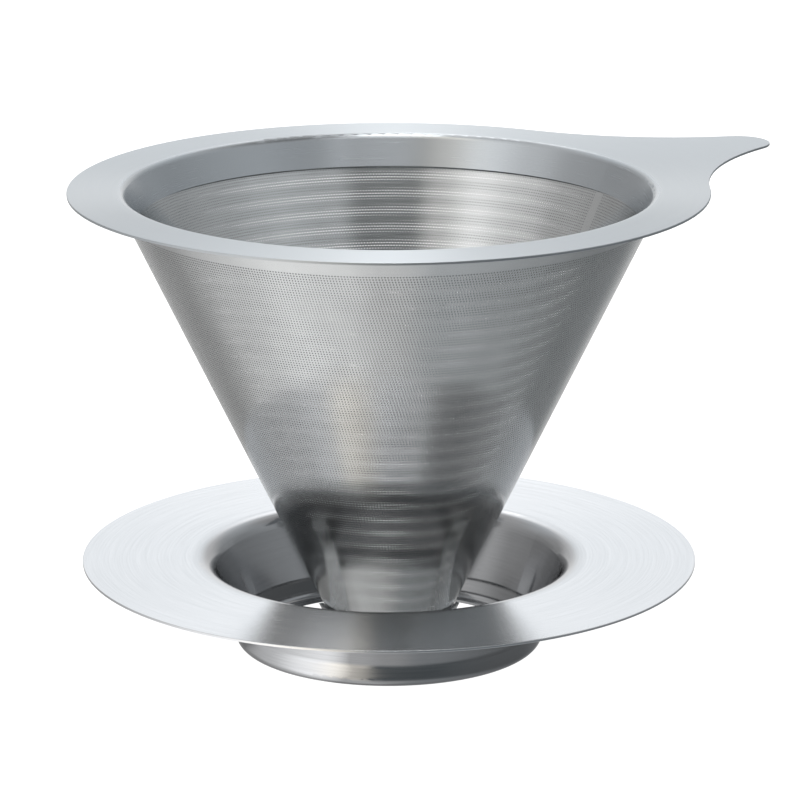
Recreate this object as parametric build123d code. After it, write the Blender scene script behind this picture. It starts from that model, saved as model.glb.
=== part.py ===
from build123d import *
import math
import os

# A stainless pour over dripper: two nested filter cones hang from a flat rim with a handle tab, and
# three bent stays carry a drip saucer with a conical foot collar. Millimetres, +Z up. The foot stands
# on Z = 0, the handle points along +X, and every round piece is turned about one vertical axis.

# Overall sizes
RIM_R = 61.75            # flange of the rim
RIM_TOP_Z = 91.1
TAB_REACH = 88.4         # from the cone's axis to the end of the handle
SAUCER_R = 60.0
SAUCER_TOP_Z = 17.6

# Sheets
SHEET = 0.5              # rim, saucer and tip cap
EDGE_ROUND = 0.12        # sheared edges are broken to this radius
MESH_SHEET = 0.3
MESH_GAP = 0.8           # between the two filter cones
STAY_SHEET = 0.8

# Filter cones
CONE_HALF_ANGLE = math.radians(25.8)
CONE_TOP_R = 53.2        # outer face of the outer cone, carried up to RIM_TOP_Z
CONE_LOW_Z = 1.5
INNER_MESH_TOP_Z = RIM_TOP_Z - 1.4

# Rim
COLLAR_LOW_Z = 85.0      # lower edge of the collar inside the cones
COLLAR_BEND_R = 1.5      # on the visible side of the sheet
TAB_TIP_R = 6.2
TAB_FLANK_R = 58.0       # concave sides that blend the tab into the flange

# Saucer and its foot collar, sizes of the face that looks up and in
MOUTH_R = 35.0           # where the collar wall would meet the saucer's top face
SHOULDER_R = 4.0
COLLAR_KNEE_Z = 4.6      # the cone of the collar turns into a short cylinder
KNEE_R = 2.0
SPIGOT_R = 30.2          # outside of that cylinder
LIP_R = 27.4
LIP_BEND_R = 2.0         # on the outside of the sheet

# Tip cap and stays
TIP_CAP_TOP_Z = 3.6
STAY_COUNT = 3
STAY_FIRST_ANGLE = 60.0  # measured from the handle
STAY_WIDTH = 8.0
STAY_Z = 5.6
STAY_INNER_TOP_Z = 8.6
STAY_OUTER_TOP_Z = 11.6
STAY_BEND_R = 0.6

# The origin is at the bottom centre of the bounding box, so the cones' axis stands off it in X.
AXIS = Pos((RIM_R - TAB_REACH) / 2, 0, 0)

SLOPE = math.tan(CONE_HALF_ANGLE)
SQUARE = math.cos(CONE_HALF_ANGLE)


def cone_r(z, depth=0.0):
    """Radius at height z of the face that lies depth inside the outer cone's outer face."""
    return CONE_TOP_R - (RIM_TOP_Z - z) * SLOPE - depth / SQUARE


def collar_r(z):
    """Radius at height z of the foot collar's inner wall, above its knee."""
    knee_r = SPIGOT_R - SHEET
    return knee_r + (MOUTH_R - knee_r) * (z - COLLAR_KNEE_Z) / (SAUCER_TOP_Z - COLLAR_KNEE_Z)


def turned(*points, rounds=()):
    """Solid of revolution of a closed outline of (radius, height) points.

    rounds holds (index of the point, radius) pairs.
    """
    outline = make_face(Polyline(*points, close=True))
    for index, radius in rounds:
        r, z = points[index]
        corner = outline.vertices().sort_by_distance((r, z, 0))[0]
        outline = fillet(corner, radius)
    return revolve(Plane.XZ * outline, Axis.Z)


def along(a, b, distance):
    """The point this far from a on the way to b."""
    (ar, az), (br, bz) = a, b
    part = distance / math.hypot(br - ar, bz - az)
    return (ar + (br - ar) * part, az + (bz - az) * part)


def tab_plate():
    """Handle tab: a round tip and two concave flanks, all tangent to each other and to the flange."""
    tip_x = TAB_REACH - TAB_TIP_R
    to_axis = RIM_R + TAB_FLANK_R
    to_tip = TAB_TIP_R + TAB_FLANK_R
    flank_x = (to_axis**2 - to_tip**2 + tip_x**2) / (2 * tip_x)
    flank_y = math.sqrt(to_axis**2 - flank_x**2)
    centre = (flank_x, flank_y)
    root = along((0, 0), centre, RIM_R)
    shoulder = along((tip_x, 0), centre, TAB_TIP_R)
    chord_middle = ((root[0] + shoulder[0]) / 2, (root[1] + shoulder[1]) / 2)
    middle = along(centre, chord_middle, TAB_FLANK_R)
    flank = ThreePointArc(root, middle, shoulder)
    nose = ThreePointArc(shoulder, (TAB_REACH, 0), (shoulder[0], -shoulder[1]))
    base = Line((root[0], -root[1]), root)
    outline = make_face([flank, nose, mirror(flank, Plane.XZ), base])
    return Pos(0, 0, RIM_TOP_Z - SHEET) * extrude(outline, SHEET)


def rim():
    """Flange, handle tab and collar, drawn from one sheet."""
    under = MESH_SHEET * 2 + MESH_GAP
    face = under + SHEET
    low = RIM_TOP_Z - SHEET
    ring = turned(
        (RIM_R, RIM_TOP_Z),
        (cone_r(RIM_TOP_Z, face), RIM_TOP_Z),
        (cone_r(COLLAR_LOW_Z, face), COLLAR_LOW_Z),
        (cone_r(COLLAR_LOW_Z, under), COLLAR_LOW_Z),
        (cone_r(low, under), low),
        (RIM_R, low),
        rounds=[(1, COLLAR_BEND_R), (4, COLLAR_BEND_R - SHEET)],
    )
    body = ring + tab_plate()
    outline = [e for e in body.edges() if e.center().Z > low - 0.01 and outside_flange(e)]
    return fillet(outline, EDGE_ROUND)


def outside_flange(edge):
    """True for the edges round the outside of the flange and the tab, top and bottom."""
    level = edge.bounding_box().size.Z < 0.01
    start = edge.position_at(0.5)
    return level and math.hypot(start.X, start.Y) > RIM_R - 0.01


def mesh_cone(depth, top_z):
    """One rolled filter sheet."""
    return turned(
        (cone_r(CONE_LOW_Z, depth), CONE_LOW_Z),
        (cone_r(top_z, depth), top_z),
        (cone_r(top_z, depth + MESH_SHEET), top_z),
        (cone_r(CONE_LOW_Z, depth + MESH_SHEET), CONE_LOW_Z),
    )


def tip_cap():
    """Pressed cup that both filter cones stand in."""
    wall = SHEET / SQUARE
    low = CONE_LOW_Z - SHEET
    return turned(
        (0, low),
        (cone_r(low) + wall, low),
        (cone_r(TIP_CAP_TOP_Z) + wall, TIP_CAP_TOP_Z),
        (cone_r(TIP_CAP_TOP_Z), TIP_CAP_TOP_Z),
        (cone_r(CONE_LOW_Z), CONE_LOW_Z),
        (0, CONE_LOW_Z),
        rounds=[(1, SHEET)],
    )


def saucer():
    """Drip saucer, shoulder, conical foot collar, spigot and inward lip, spun from one sheet."""
    knee_r = SPIGOT_R - SHEET
    lean = math.atan((MOUTH_R - knee_r) / (SAUCER_TOP_Z - COLLAR_KNEE_Z))
    mouth_under = MOUTH_R + SHEET * math.tan(math.pi / 4 - lean / 2)
    knee_under = COLLAR_KNEE_Z - SHEET * math.tan(lean / 2)
    body = turned(
        (SAUCER_R, SAUCER_TOP_Z),
        (MOUTH_R, SAUCER_TOP_Z),
        (knee_r, COLLAR_KNEE_Z),
        (knee_r, SHEET),
        (LIP_R, SHEET),
        (LIP_R, 0),
        (SPIGOT_R, 0),
        (SPIGOT_R, knee_under),
        (mouth_under, SAUCER_TOP_Z - SHEET),
        (SAUCER_R, SAUCER_TOP_Z - SHEET),
        rounds=[
            (1, SHOULDER_R),
            (2, KNEE_R),
            (3, LIP_BEND_R - SHEET),
            (6, LIP_BEND_R),
            (7, KNEE_R + SHEET),
            (8, SHOULDER_R - SHEET),
        ],
    )
    edge = [e for e in body.edges() if abs(e.bounding_box().size.X / 2 - SAUCER_R) < 0.01]
    return fillet([e for e in edge if e.bounding_box().size.Z < 0.01], EDGE_ROUND)


def stay(angle):
    """U-bent strip: one leg lies on the outer cone, the other on the inside of the foot collar."""
    top = STAY_Z + STAY_SHEET
    inner = STAY_SHEET / SQUARE
    outer = STAY_SHEET * math.hypot(1, (collar_r(1) - collar_r(0)))
    ring = turned(
        (cone_r(STAY_INNER_TOP_Z), STAY_INNER_TOP_Z),
        (cone_r(STAY_Z), STAY_Z),
        (collar_r(STAY_Z), STAY_Z),
        (collar_r(STAY_OUTER_TOP_Z), STAY_OUTER_TOP_Z),
        (collar_r(STAY_OUTER_TOP_Z) - outer, STAY_OUTER_TOP_Z),
        (collar_r(top) - outer, top),
        (cone_r(top) + inner, top),
        (cone_r(STAY_INNER_TOP_Z) + inner, STAY_INNER_TOP_Z),
        rounds=[(5, STAY_BEND_R), (6, STAY_BEND_R)],
    )
    strip = Pos(SAUCER_R / 2, 0, RIM_TOP_Z / 2) * Box(SAUCER_R, STAY_WIDTH, RIM_TOP_Z)
    return Rot(0, 0, angle) * (ring & strip)


pieces = {
    "rim": rim(),
    "outer_mesh": mesh_cone(0, RIM_TOP_Z - SHEET),
    "inner_mesh": mesh_cone(MESH_SHEET + MESH_GAP, INNER_MESH_TOP_Z),
    "tip_cap": tip_cap(),
    "saucer": saucer(),
}
for number in range(STAY_COUNT):
    pieces[f"stay_{number + 1}"] = stay(STAY_FIRST_ANGLE + number * 360 / STAY_COUNT)

os.makedirs("parts", exist_ok=True)
for node, piece in pieces.items():
    export_step(AXIS * piece, f"parts/{node}.step")
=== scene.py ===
"""Looks of a stainless pour over dripper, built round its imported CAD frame. Metres, +Z up."""

import math

import bpy
import numpy as np
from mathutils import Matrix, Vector


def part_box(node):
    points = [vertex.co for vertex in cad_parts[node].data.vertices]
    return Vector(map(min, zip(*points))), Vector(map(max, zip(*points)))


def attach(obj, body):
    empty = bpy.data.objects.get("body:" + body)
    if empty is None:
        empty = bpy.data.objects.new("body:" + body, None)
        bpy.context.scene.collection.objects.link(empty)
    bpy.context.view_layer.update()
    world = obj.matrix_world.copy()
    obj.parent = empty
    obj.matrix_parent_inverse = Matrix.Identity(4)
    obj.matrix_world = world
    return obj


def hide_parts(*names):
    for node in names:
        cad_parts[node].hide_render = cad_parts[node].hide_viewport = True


MM = 0.001

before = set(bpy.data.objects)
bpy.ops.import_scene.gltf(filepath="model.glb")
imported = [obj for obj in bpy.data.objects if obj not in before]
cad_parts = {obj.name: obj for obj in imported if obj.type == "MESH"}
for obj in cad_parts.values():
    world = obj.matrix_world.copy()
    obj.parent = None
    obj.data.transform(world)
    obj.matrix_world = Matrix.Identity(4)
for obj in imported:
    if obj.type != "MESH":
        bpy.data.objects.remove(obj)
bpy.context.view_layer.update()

# ---------------------------------------------------------------- places taken from the frame
mesh_low, mesh_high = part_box("outer_mesh")
_, saucer_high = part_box("saucer")
AXIS_X = (mesh_low.x + mesh_high.x) / 2
SAUCER_TOP_Z = saucer_high.z

# ---------------------------------------------------------------- filter sheets
HALF_ANGLE = math.radians(25.8)      # of the cones
PITCH = 0.57 * MM                    # along each row of holes, and from row to row
LAST_ROW_Z = 2.6 * MM
SEAM_STRIP = 2.9 * MM                # plain strip along each sheet's weld
MEETING_GAP = 0.4 * PITCH            # least distance from a hole to the line opposite the seam
HOLES_PER_PIECE = 6400

OUTER_SEAM = math.radians(-21.3)     # measured from the handle
OUTER_DEPTH = 0.1 * MM               # of the foil's outer face, inwards from the CAD cone's
OUTER_FOIL = 0.1 * MM
OUTER_HOLE_R = 0.16 * MM
OUTER_FIRST_ROW_Z = 85.6 * MM

INNER_SEAM = 0.0
INNER_DEPTH = -0.1 * MM
INNER_FOIL = 0.16 * MM
INNER_HOLE_R = 0.145 * MM
INNER_FIRST_ROW_Z = 85.34 * MM

# ---------------------------------------------------------------- finishes and painted shade
GRAIN_LOW = 0.3                      # most of the grain noise lies between these
GRAIN_HIGH = 0.7
FOOT_EDGE_R = 35.5 * MM              # the saucer's finish and painted shade change between these
TRAY_EDGE_R = 39.0 * MM
FACES_IN = -0.4                      # cosines off the outward direction, bowl side and foot side, for the painted shade
FACES_OUT = 0.2
BOWL_SHADE_SHARE = 0.5                     # painted shade: share of the tray's brightness kept in the bowl, and on the foot below
FOOT_SHADE_SHARE = 0.68
COLLAR_EDGE_R = 51.0 * MM            # the rim's finish changes between these
FLANGE_EDGE_R = 53.0 * MM

# ---------------------------------------------------------------- camera
VIEW_AZIMUTH = math.radians(-31)
VIEW_ELEVATION = math.radians(17.257)
VIEW_DISTANCE = 869.4 * MM           # from the middle of the saucer's top
AIM_ABOVE_SAUCER = 31.3 * MM
AIM_RIGHT = 2.15 * MM
SENSOR_WIDTH = 36
LENS = 199.15
CLIP_NEAR = 0.05
CLIP_FAR = 20

# ---------------------------------------------------------------- floor and its shade
FLOOR_HALF = 3.0
FLOOR_GREY = 0.3                     # what the floor scatters, besides its own glow
FLOOR_GLOW = 1.0
SHADE_STEPS = 64
SHADE_Z = -0.2 * MM
SHADE_BACK = 5 * MM
SHADE_R = 72 * MM
SHADE_CORE_R = 38 * MM
SHADE_CORE_LIGHT = 0.6
KEY_AZIMUTH = math.radians(226)
KEY_FADE_OUT = 0.80                  # cosines of the angle off the key light
KEY_FADE_IN = 0.95
KEY_LOW_R = 28 * MM
KEY_HIGH_R = 36 * MM
KEY_LIGHT = 1.25

# ---------------------------------------------------------------- studio light
# Each ring is an elevation in degrees with (azimuth, brightness, tint) stops. Azimuths run
# counter-clockwise from the camera's right, so 90 is behind the object, 180 is left and 270 is the
# camera's side. The light blends from ring to ring, and the last one fills the zenith.
PLAIN = (1.0, 1.0, 1.0)
COOL = (0.96, 1.0, 1.03)
WARM = (1.06, 1.0, 0.9)
SLATE = (0.9, 1.0, 1.06)
WHITE = (1, 1, 1, 1)
RINGS = [
    (-60, [(0, 0.42, COOL), (35, 0.40, COOL), (90, 0.4, PLAIN), (133, 0.5, PLAIN), (166, 0.82, PLAIN),
           (206, 1.05, PLAIN), (235, 0.95, PLAIN), (270, 0.72, PLAIN), (310, 0.5, COOL)]),
    (-30, [(0, 0.2, COOL), (30, 0.22, COOL), (55, 0.3, COOL), (90, 0.85, PLAIN), (110, 0.5, PLAIN),
           (133, 0.4, PLAIN), (166, 0.65, PLAIN), (206, 1.3, PLAIN), (235, 1.5, WARM),
           (248, 1.2, WARM), (262, 0.2, SLATE), (310, 0.18, SLATE)]),
    (5, [(0, 0.3, COOL), (27, 0.3, COOL), (50, 0.4, COOL), (72, 0.75, PLAIN), (90, 1.0, PLAIN),
         (108, 0.75, PLAIN), (125, 0.4, PLAIN), (150, 0.3, PLAIN), (175, 0.4, PLAIN),
         (196, 0.7, PLAIN), (222, 1.0, PLAIN), (250, 0.45, WARM), (270, 0.1, SLATE),
         (300, 0.12, SLATE), (333, 0.3, COOL)]),
    (20, [(0, 0.45, COOL), (27, 0.42, COOL), (50, 0.5, COOL), (72, 0.8, PLAIN), (90, 1.0, COOL),
          (108, 0.8, PLAIN), (125, 0.5, PLAIN), (150, 0.45, PLAIN), (175, 0.5, PLAIN),
          (196, 0.75, PLAIN), (222, 1.15, PLAIN), (243, 0.6, WARM), (258, 0.13, SLATE),
          (285, 0.12, SLATE), (300, 0.4, COOL), (333, 0.5, COOL)]),
    (38, [(0, 0.6, COOL), (27, 0.55, COOL), (70, 0.8, COOL), (90, 2.2, PLAIN), (110, 0.8, COOL),
          (166, 0.6, PLAIN), (196, 0.85, PLAIN), (222, 1.2, PLAIN), (243, 0.65, PLAIN),
          (258, 0.11, SLATE), (285, 0.11, SLATE), (300, 0.5, COOL), (333, 0.65, COOL)]),
    (50, [(0, 0.35, PLAIN), (70, 0.7, PLAIN), (90, 2.1, PLAIN), (110, 0.7, PLAIN), (180, 0.7, PLAIN),
          (206, 1.0, PLAIN), (226, 1.3, WARM), (244, 0.9, WARM), (260, 1.7, PLAIN),
          (292, 1.7, PLAIN), (312, 0.6, PLAIN), (330, 0.3, PLAIN)]),
    (62, [(0, 0.15, PLAIN), (70, 0.5, PLAIN), (90, 2.0, PLAIN), (110, 0.5, PLAIN), (180, 0.8, PLAIN),
          (206, 1.0, PLAIN), (226, 1.5, WARM), (246, 0.9, WARM), (270, 0.7, PLAIN),
          (300, 0.7, PLAIN), (325, 0.2, PLAIN)]),
    (76, [(0, 0.2, PLAIN), (90, 1.0, PLAIN), (180, 0.7, PLAIN), (226, 1.1, WARM), (260, 0.8, PLAIN),
          (310, 0.2, PLAIN)]),
    (87, [(0, 6.0, PLAIN)]),
]


# ================================================================ filter sheets
class Sheet:
    """A rolled sheet on a cone.

    Places on it are given by angle round the axis and slant distance from the cone's tip.
    """

    def __init__(self, node, seam, depth, foil, hole_r):
        low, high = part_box(node)
        top_r = (high.x - low.x) / 2
        self.tip_z = high.z - top_r / math.tan(HALF_ANGLE)
        self.top = self.slant(high.z)
        self.bottom = self.slant(low.z)
        self.seam = seam
        self.depth = depth
        self.foil = foil
        self.hole_r = hole_r

    def slant(self, z):
        return (z - self.tip_z) / math.cos(HALF_ANGLE)

    def points(self, angle, slant, depth):
        r = slant * math.sin(HALF_ANGLE) - depth * math.cos(HALF_ANGLE)
        z = self.tip_z + slant * math.cos(HALF_ANGLE) + depth * math.sin(HALF_ANGLE)
        return np.stack([AXIS_X + r * np.cos(angle), r * np.sin(angle), z + 0 * angle], axis=1)


def leaning(angle, level, rise):
    """Directions of this level and upright share, at these angles round the axis."""
    return np.stack([level * np.cos(angle), level * np.sin(angle), 0 * angle + rise], axis=1)


def hole_places(radius):
    """Arc distances from the seam of one row's holes, counted both ways from it."""
    side = np.arange(SEAM_STRIP / 2, math.pi * radius - MEETING_GAP, PITCH)
    around = 2 * math.pi * radius
    return np.concatenate([side, around - side[::-1]])


class SheetMesh:
    """One piece of sheet: numbered points, the triangles between them, and the edges of the holes.

    A chain is a closed line of points round the cone: their numbers and their angles from the seam,
    which rise to a full turn. Both faces of the foil share the numbering.
    """

    def __init__(self, sheet):
        self.sheet = sheet
        self.angles = []
        self.slants = []
        self.count = 0
        self.faces = []
        self.holes = []

    def add(self, angle, slant):
        """Points at angles from the seam. Returns their numbers."""
        numbers = self.count + np.arange(len(angle))
        self.angles.append(angle + self.sheet.seam)
        self.slants.append(slant + 0 * angle)
        self.count += len(angle)
        return numbers

    def plain_ring(self, slant):
        """A chain of evenly spaced points."""
        radius = slant * math.sin(HALF_ANGLE)
        steps = int(2 * math.pi * radius / PITCH)
        angle = np.arange(steps) * math.tau / steps
        return self.add(angle, slant), angle

    def hole_row(self, slant):
        """One row of six-sided holes. Returns the chains over and under them."""
        radius = slant * math.sin(HALF_ANGLE)
        places = hole_places(radius)
        reach = self.sheet.hole_r
        rise = reach * math.sin(math.pi / 3)

        def corners(offset, up):
            angle = (places + offset) / radius
            return self.add(angle, slant + up), angle

        left = corners(-reach, 0)
        right = corners(reach, 0)
        high_left = corners(-reach / 2, rise)
        high_right = corners(reach / 2, rise)
        low_left = corners(-reach / 2, -rise)
        low_right = corners(reach / 2, -rise)
        hole = (left, low_left, low_right, right, high_right, high_left)
        self.holes.append(np.stack([numbers for numbers, _ in hole], axis=1))

        middle = len(places) // 2
        meeting = (places[middle] + places[middle - 1]) / 2 / radius
        in_strip = SEAM_STRIP / 4 / radius
        spare_angle = np.array([0, in_strip, meeting, math.tau - in_strip])
        spare = (self.add(spare_angle, slant), spare_angle)

        def chain(*parts):
            numbers = np.concatenate([part[0] for part in (spare, *parts)])
            angle = np.concatenate([part[1] for part in (spare, *parts)])
            order = np.argsort(angle, kind="stable")
            return numbers[order], angle[order]

        return chain(left, high_left, high_right, right), chain(left, low_left, low_right, right)

    def zip_chains(self, above, below):
        """Triangles between two chains, each point joined to the nearest stretch of the other."""
        upper, upper_angle = above
        lower, lower_angle = below
        upper_mid = (upper_angle + np.append(upper_angle[1:], upper_angle[0] + math.tau)) / 2
        lower_mid = (lower_angle + np.append(lower_angle[1:], lower_angle[0] + math.tau)) / 2
        apex_low = np.searchsorted(lower_mid, upper_mid) % len(lower)
        apex_up = np.searchsorted(upper_mid, lower_mid, side="right") % len(upper)
        self.faces.append(np.stack([np.roll(upper, -1), upper, lower[apex_low]], axis=1))
        self.faces.append(np.stack([lower, np.roll(lower, -1), upper[apex_up]], axis=1))


class MeshParts:
    """Points, normals and faces of one piece, added part by part."""

    def __init__(self):
        self.points = []
        self.normals = []
        self.triangles = []
        self.quads = []
        self.count = 0

    def add_points(self, points, normals):
        first = self.count
        self.points.append(points.reshape(-1, 3))
        self.normals.append(normals.reshape(-1, 3))
        self.count += len(self.points[-1])
        return first

    def add(self, points, normals, triangles):
        self.triangles.append(triangles + self.add_points(points, normals))

    def add_walls(self, near, far, normals):
        """Bands of quads between closed loops of points: near and far are (loops, points, 3)."""
        loops, size = near.shape[:2]
        first = self.add_points(near, normals)
        second = self.add_points(far, normals)
        a = np.arange(loops * size).reshape(loops, size)
        b = np.roll(a, -1, axis=1)
        quads = np.stack([a + first, b + first, b + second, a + second], axis=2)
        self.quads.append(quads.reshape(-1, 4))

    def object(self, name):
        triangles = np.concatenate(self.triangles)
        quads = np.concatenate(self.quads)
        corners = np.concatenate([triangles.ravel(), quads.ravel()])
        sizes = np.concatenate([np.full(len(triangles), 3), np.full(len(quads), 4)])
        data = bpy.data.meshes.new(name)
        data.vertices.add(self.count)
        data.vertices.foreach_set("co", np.concatenate(self.points).astype(np.float32).ravel())
        data.loops.add(len(corners))
        data.loops.foreach_set("vertex_index", corners.astype(np.int32))
        data.polygons.add(len(sizes))
        data.polygons.foreach_set("loop_start", (np.cumsum(sizes) - sizes).astype(np.int32))
        data.polygons.foreach_set("loop_total", sizes.astype(np.int32))
        data.update(calc_edges=True)
        shading = data.attributes.new("custom_normal", "FLOAT_VECTOR", "POINT")
        shading.data.foreach_set("vector", np.concatenate(self.normals).astype(np.float32).ravel())
        piece = bpy.data.objects.new(name, data)
        bpy.context.scene.collection.objects.link(piece)
        return piece


def sheet_piece(name, sheet, top, bottom, rows):
    """A closed ring of perforated sheet between two slant distances, with holes at these rows."""
    mesh = SheetMesh(sheet)
    first, _ = above = mesh.plain_ring(top)
    for slant in rows:
        upper, lower = mesh.hole_row(slant)
        mesh.zip_chains(above, upper)
        above = lower
    last, _ = below = mesh.plain_ring(bottom)
    mesh.zip_chains(above, below)

    angle = np.concatenate(mesh.angles)
    slant = np.concatenate(mesh.slants)
    outer = sheet.points(angle, slant, sheet.depth)
    inner = sheet.points(angle, slant, sheet.depth + sheet.foil)
    outward = leaning(angle, math.cos(HALF_ANGLE), -math.sin(HALF_ANGLE))
    upward = leaning(angle, math.sin(HALF_ANGLE), math.cos(HALF_ANGLE))
    faces = np.concatenate(mesh.faces)
    holes = np.concatenate(mesh.holes)
    middle = outer[holes].mean(axis=1, keepdims=True)
    inwards = middle - outer[holes]
    inwards /= np.linalg.norm(inwards, axis=2, keepdims=True)

    shell = MeshParts()
    shell.add(outer, outward, faces)
    shell.add(inner, -outward, faces[:, ::-1])
    shell.add_walls(outer[holes], inner[holes], inwards)
    shell.add_walls(outer[first][None], inner[first][None], upward[first][None])
    shell.add_walls(inner[last][None], outer[last][None], -upward[last][None])
    return shell.object(name)


def split_rows(rows):
    """Groups of neighbouring rows with about the same number of holes each."""
    groups = [[]]
    holes = 0
    for slant in rows:
        count = len(hole_places(slant * math.sin(HALF_ANGLE)))
        if holes + count > HOLES_PER_PIECE:
            groups.append([])
            holes = 0
        groups[-1].append(slant)
        holes += count
    return groups


def filter_sheet(node, sheet, first_row_z, material):
    """One perforated cone in rings, which together stand for the CAD node."""
    first = sheet.slant(first_row_z)
    rows = first - PITCH * np.arange(int((first - sheet.slant(LAST_ROW_Z)) / PITCH) + 1)
    groups = split_rows(rows)
    top = sheet.top
    for number, group in enumerate(groups, 1):
        bottom = sheet.bottom if number == len(groups) else group[-1] - PITCH / 2
        piece = sheet_piece(f"{node}_ring_{number}", sheet, top, bottom, group)
        piece.data.materials.append(material)
        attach(piece, "root")
        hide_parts(node)
        top = bottom


# ================================================================ materials
class NodeTree:
    """Adds nodes to the tree of a material or world."""

    def __init__(self, owner):
        owner.use_nodes = True
        self.nodes = owner.node_tree.nodes
        self.link = owner.node_tree.links.new

    def add(self, kind, *values, **settings):
        """A node with its inputs set or linked in order."""
        node = self.nodes.new(kind)
        for name, value in settings.items():
            setattr(node, name, value)
        for socket, value in zip(node.inputs, values, strict=False):
            if isinstance(value, bpy.types.NodeSocket):
                self.link(value, socket)
            elif value is not None:
                socket.default_value = value
        return node

    def math(self, kind, *values):
        return self.add("ShaderNodeMath", *values, operation=kind).outputs["Value"]

    def vector(self, kind, *values):
        return self.add("ShaderNodeVectorMath", *values, operation=kind).outputs["Vector"]

    def measure(self, kind, *values):
        """A length or a dot product."""
        return self.add("ShaderNodeVectorMath", *values, operation=kind).outputs["Value"]

    def mix(self, factor, first, second, **settings):
        return self.add("ShaderNodeMixRGB", factor, first, second, **settings).outputs["Color"]

    def ramp(self, value, start, end, low, high, **settings):
        """Low where the value is at or before start, high where it is at or past end."""
        node = self.add("ShaderNodeMapRange", value, start, end, low, high, **settings)
        return node.outputs["Result"]

    def soft_ramp(self, value, start, end, low, high):
        return self.ramp(value, start, end, low, high, interpolation_type="SMOOTHSTEP")


class Steel(NodeTree):
    """Bare steel, with helpers that work in the frame of the dripper's upright axis."""

    def __init__(self, name, color):
        self.material = bpy.data.materials.new(name)
        super().__init__(self.material)
        self.shader = self.nodes["Principled BSDF"]
        self.shader.inputs["Base Color"].default_value = (*color, 1)
        self.shader.inputs["Metallic"].default_value = 1

    def round_the_axis(self):
        """Position from the upright axis, its distance from it, and the direction outwards."""
        place = self.vector("ADD", self.add("ShaderNodeTexCoord").outputs["Object"], (-AXIS_X, 0, 0))
        level = self.vector("MULTIPLY", place, (1, 1, 0))
        return place, self.measure("LENGTH", level), self.vector("NORMALIZE", level)

    def brush_in_circles(self, anisotropy, fineness, shade, smear):
        """Fine grooves round the axis: reflections stretch across them, and their shade varies."""
        place, radius, outward = self.round_the_axis()
        self.link(outward, self.shader.inputs["Tangent"])
        self.shader.inputs["Anisotropic"].default_value = anisotropy
        height = self.add("ShaderNodeSeparateXYZ", place).outputs["Z"]
        groove = self.math("MULTIPLY", self.math("ADD", radius, height), fineness)
        turn = self.vector("MULTIPLY", outward, (smear, smear, 0))
        across = self.add("ShaderNodeSeparateXYZ", turn)
        grain_place = self.add("ShaderNodeCombineXYZ", across.outputs["X"], across.outputs["Y"], groove)
        grain = self.noise(grain_place.outputs["Vector"], scale=1.0, detail=3.0)
        self.vary_color(grain, shade)
        return grain, radius, outward

    def noise(self, place, scale, detail):
        return self.add("ShaderNodeTexNoise", place, None, scale, detail).outputs["Fac"]

    def vary_color(self, factor, amount):
        """Lightens and darkens the steel's own colour by up to amount."""
        color = self.shader.inputs["Base Color"].default_value[:3]
        dark = tuple(c * (1 - amount) for c in color)
        light = tuple(min(1.0, c * (1 + amount)) for c in color)
        self.link(self.mix(factor, (*dark, 1), (*light, 1)), self.shader.inputs["Base Color"])

    def paint_shade(self, clear, share):
        """Painted shade: keeps this share of the varied colour where clear is 0, and all of it where
        clear is 1.
        """
        color = self.shader.inputs["Base Color"].links[0].from_socket
        level = self.ramp(clear, 0, 1, share, 1)
        darker = self.mix(1, color, level, blend_type="MULTIPLY")
        self.link(darker, self.shader.inputs["Base Color"])

    def vary_roughness(self, grain, low, high, base=None):
        """Roughness from low to high along the grain, as a share of base where that is given."""
        roughness = self.ramp(grain, GRAIN_LOW, GRAIN_HIGH, low, high)
        if base is not None:
            roughness = self.math("MULTIPLY", base, roughness)
        self.link(roughness, self.shader.inputs["Roughness"])


def saucer_steel():
    """Coarsely brushed on the flat drip tray, smoother on the foot and in the bowl; painted shade
    darkens the foot, the bowl most.
    """
    steel = Steel("saucer_brushed_painted_shade", color=(0.8, 0.81, 0.83))
    grain, radius, outward = steel.brush_in_circles(
        anisotropy=0.92, fineness=2600, shade=0.12, smear=3.0)
    tray = steel.ramp(radius, FOOT_EDGE_R, TRAY_EDGE_R, 0, 1)
    normal = steel.add("ShaderNodeNewGeometry").outputs["Normal"]
    facing = steel.measure("DOT_PRODUCT", outward, normal)
    # Painted shade: the bowl and the foot keep only a share of the tray's brightness.
    steel.paint_shade(tray, share=steel.ramp(facing, FACES_IN, FACES_OUT, BOWL_SHADE_SHARE, FOOT_SHADE_SHARE))
    steel.vary_roughness(grain, low=0.85, high=1.2, base=steel.ramp(tray, 0, 1, low=0.14, high=0.19))
    return steel.material


def rim_steel():
    """Satin flange and handle, smoother collar."""
    steel = Steel("rim_satin", color=(0.55, 0.58, 0.605))
    grain, radius, _ = steel.brush_in_circles(anisotropy=0.9, fineness=4000, shade=0.04, smear=4.0)
    flange = steel.ramp(radius, COLLAR_EDGE_R, FLANGE_EDGE_R, low=0.25, high=0.32)
    steel.vary_roughness(grain, low=0.9, high=1.1, base=flange)
    return steel.material


def strip_steel():
    """Cut strip and pressed cup: an even satin with a fine grain."""
    steel = Steel("strip_satin", color=(0.62, 0.63, 0.64))
    place, _, _ = steel.round_the_axis()
    grain = steel.noise(place, scale=900.0, detail=4.0)
    steel.vary_color(grain, 0.06)
    steel.vary_roughness(grain, low=0.18, high=0.3)
    return steel.material


def etched_steel():
    """Filter foil: even, with faint cloudy variation from the etching."""
    steel = Steel("etched_sheet", color=(0.66, 0.67, 0.67))
    steel.shader.inputs["Roughness"].default_value = 0.16
    place, _, _ = steel.round_the_axis()
    steel.vary_color(steel.noise(place, scale=160.0, detail=3.0), 0.07)
    return steel.material


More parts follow.
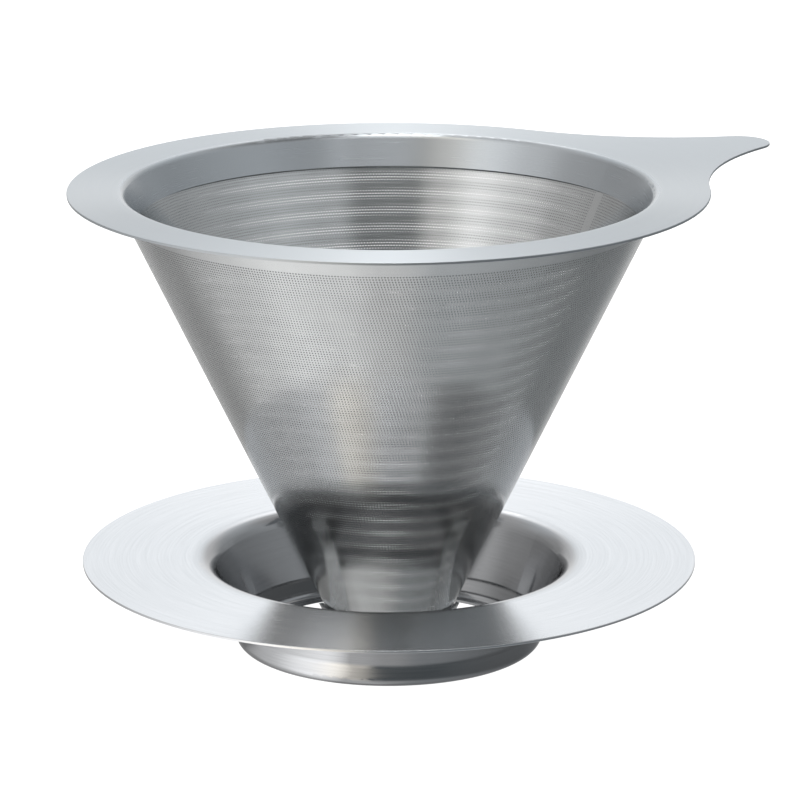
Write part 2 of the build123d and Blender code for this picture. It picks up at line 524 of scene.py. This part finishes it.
def floor_white():
    """Matt, with a glow of its own that keeps it white in the dripper's shade."""
    material = bpy.data.materials.new("floor_white")
    shader = NodeTree(material).nodes["Principled BSDF"]
    shader.inputs["Base Color"].default_value = (FLOOR_GREY, FLOOR_GREY, FLOOR_GREY, 1)
    shader.inputs["Roughness"].default_value = 1
    shader.inputs["Emission Color"].default_value = WHITE
    shader.inputs["Emission Strength"].default_value = FLOOR_GLOW
    return material


def soft_shade():
    """See-through film: dim in the middle, clear at its edge, and lit towards the key light."""
    material = bpy.data.materials.new("floor_shade")
    tree = NodeTree(material)
    place = tree.add("ShaderNodeTexCoord").outputs["Object"]
    radius = tree.measure("LENGTH", place)
    clear = tree.soft_ramp(radius, SHADE_CORE_R, SHADE_R, SHADE_CORE_LIGHT, 1)
    facing = tree.measure("DOT_PRODUCT", tree.vector("NORMALIZE", place), key_side())
    key = tree.soft_ramp(facing, KEY_FADE_OUT, KEY_FADE_IN, 0, 1)
    reach = tree.ramp(radius, KEY_LOW_R, KEY_HIGH_R, 0, KEY_LIGHT)
    light = tree.math("MAXIMUM", clear, tree.math("MULTIPLY", key, reach))
    film = tree.add("ShaderNodeBsdfTransparent", light)
    tree.link(film.outputs["BSDF"], tree.nodes["Material Output"].inputs["Surface"])
    return material


# ================================================================ camera, floor and light
def camera_frame(right, back, up):
    """A vector given along the camera's right, level away from it, and up."""
    across = Vector((math.cos(VIEW_AZIMUTH), math.sin(VIEW_AZIMUTH), 0))
    away = Vector((-math.sin(VIEW_AZIMUTH), math.cos(VIEW_AZIMUTH), 0))
    return across * right + away * back + Vector((0, 0, up))


def key_side():
    """Level direction from the dripper towards its key light, at the front left."""
    return camera_frame(math.cos(KEY_AZIMUTH), math.sin(KEY_AZIMUTH), 0)


def view_camera():
    """Camera at the product view: from the side of the handle, a little above."""
    middle = Vector((AXIS_X, 0, SAUCER_TOP_Z))
    data = bpy.data.cameras.new("camera")
    data.sensor_width = SENSOR_WIDTH
    data.lens = LENS
    data.clip_start = CLIP_NEAR
    data.clip_end = CLIP_FAR
    camera = bpy.data.objects.new("camera", data)
    camera.location = middle + camera_frame(0, -VIEW_DISTANCE * math.cos(VIEW_ELEVATION),
                                            VIEW_DISTANCE * math.sin(VIEW_ELEVATION))
    target = middle + camera_frame(AIM_RIGHT, 0, AIM_ABOVE_SAUCER)
    camera.rotation_euler = (target - camera.location).to_track_quat("-Z", "Y").to_euler()
    bpy.context.scene.collection.objects.link(camera)
    bpy.context.scene.camera = camera


def plate(name, corners, material):
    """One flat face of the set."""
    data = bpy.data.meshes.new(name)
    data.from_pydata(corners, [], [list(range(len(corners)))])
    data.materials.append(material)
    piece = bpy.data.objects.new(name, data)
    bpy.context.scene.collection.objects.link(piece)
    return piece


def floor():
    """Pale floor. The steel reflects the studio's own light from below instead of this plane."""
    sides = ((-1, -1), (1, -1), (1, 1), (-1, 1))
    piece = plate("floor", [(x * FLOOR_HALF, y * FLOOR_HALF, 0) for x, y in sides], floor_white())
    piece.visible_glossy = False


def floor_shade():
    """The dripper's soft shade on the floor, with key light reaching in from the front left.

    Only reflections see it; it lies just under the floor.
    """
    turns = [math.tau * step / SHADE_STEPS for step in range(SHADE_STEPS)]
    corners = [(SHADE_R * math.cos(turn), SHADE_R * math.sin(turn), 0) for turn in turns]
    piece = plate("floor_shade", corners, soft_shade())
    piece.location = camera_frame(0, SHADE_BACK, SHADE_Z) + Vector((AXIS_X, 0, 0))
    piece.visible_camera = False
    piece.visible_diffuse = False
    piece.visible_shadow = False


def light_ring(tree, azimuth, stops):
    """The studio light at one elevation, all the way round."""
    ramp = tree.add("ShaderNodeValToRGB", azimuth)
    ramp.color_ramp.interpolation = "EASE"
    elements = ramp.color_ramp.elements
    elements.remove(elements[1])
    for number, (place, brightness, tint) in enumerate([*stops, (360, *stops[0][1:])]):
        element = elements.new(place / 360) if number else elements[0]
        element.color = (*[brightness * share for share in tint], 1)
    return ramp.outputs["Color"]


def studio_world():
    """Light from all round, ring by ring. The camera itself sees a plain white backdrop."""
    world = bpy.data.worlds.new("studio")
    bpy.context.scene.world = world
    tree = NodeTree(world)
    direction = tree.add("ShaderNodeTexCoord").outputs["Generated"]
    turned = tree.add("ShaderNodeVectorRotate", direction, rotation_type="Z_AXIS")
    turned.inputs["Angle"].default_value = -VIEW_AZIMUTH
    split = tree.add("ShaderNodeSeparateXYZ", turned.outputs["Vector"]).outputs
    angle = tree.math("ARCTAN2", split["Y"], split["X"])
    azimuth = tree.math("FRACT", tree.math("DIVIDE", angle, math.tau))
    elevation = tree.math("ARCSINE", split["Z"])

    below, stops = RINGS[0]
    color = light_ring(tree, azimuth, stops)
    for height, stops in RINGS[1:]:
        blend = tree.soft_ramp(elevation, math.radians(below), math.radians(height), 0, 1)
        color = tree.mix(blend, color, light_ring(tree, azimuth, stops))
        below = height
    seen = tree.add("ShaderNodeLightPath").outputs["Is Camera Ray"]
    tree.link(tree.mix(seen, color, WHITE), tree.nodes["Background"].inputs["Color"])


# ================================================================ the dripper and its set
etched = etched_steel()
outer_sheet = Sheet("outer_mesh", OUTER_SEAM, OUTER_DEPTH, OUTER_FOIL, OUTER_HOLE_R)
inner_sheet = Sheet("inner_mesh", INNER_SEAM, INNER_DEPTH, INNER_FOIL, INNER_HOLE_R)
filter_sheet("outer_mesh", outer_sheet, OUTER_FIRST_ROW_Z, etched)
filter_sheet("inner_mesh", inner_sheet, INNER_FIRST_ROW_Z, etched)
strip = strip_steel()
for node in ("tip_cap", "stay_1", "stay_2", "stay_3"):
    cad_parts[node].data.materials[0] = strip
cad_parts["rim"].data.materials[0] = rim_steel()
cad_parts["saucer"].data.materials[0] = saucer_steel()

view_camera()
floor()
floor_shade()
studio_world()
bpy.context.scene.view_settings.view_transform = "Standard"
bpy.context.scene.cycles.use_denoising = True
